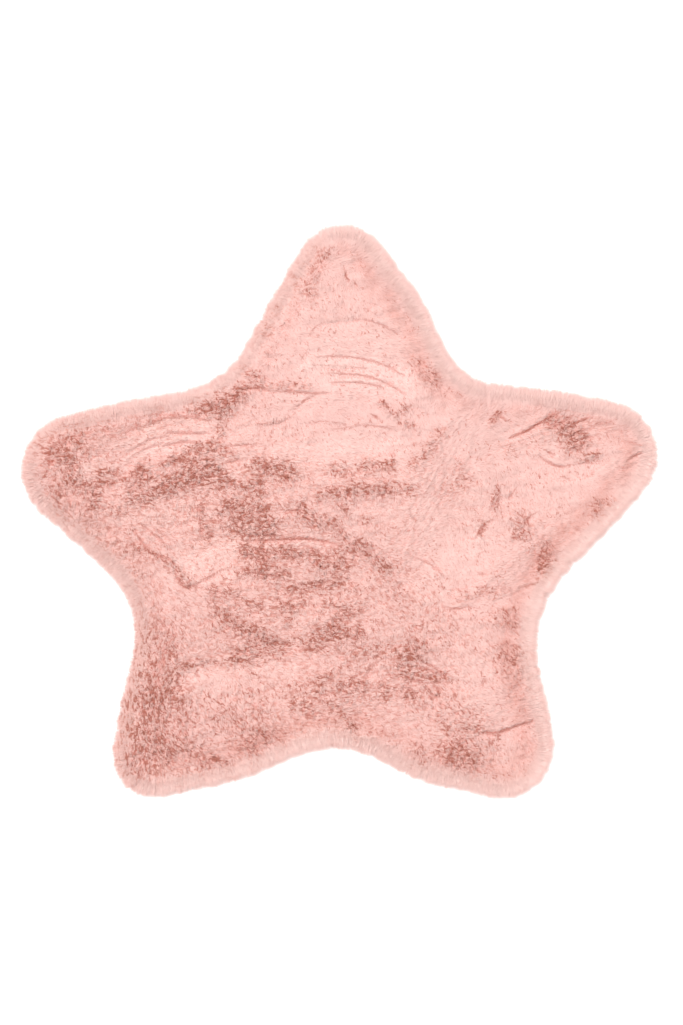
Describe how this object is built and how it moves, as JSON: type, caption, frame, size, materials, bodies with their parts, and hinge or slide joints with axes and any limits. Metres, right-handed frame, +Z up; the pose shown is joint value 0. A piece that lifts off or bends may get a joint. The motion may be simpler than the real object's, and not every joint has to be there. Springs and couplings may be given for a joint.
{
  "type": "star-shaped faux fur rug",
  "caption": "Small star-shaped floor rug of pink plush faux rabbit fur, lying flat, with rounded tips, a brushed lumpy pile and soft locks round its rim.",
  "frame": {"origin": "under the middle of the rug's box, on the flat underside at floor level", "axes": "+Z up out of the pile, +Y towards the star's top tip, +X towards the right arm seen from above"},
  "size_m": [0.9046, 0.8168, 0.0225],
  "materials": {
    "pink_plush": "soft dusty pink plush pile, matt with a light sheen where it is brushed flat, deeper rose between the locks"
  },
  "bodies": {
    "root": {"star_rug": "pink_plush"}
  },
  "joints": []
}
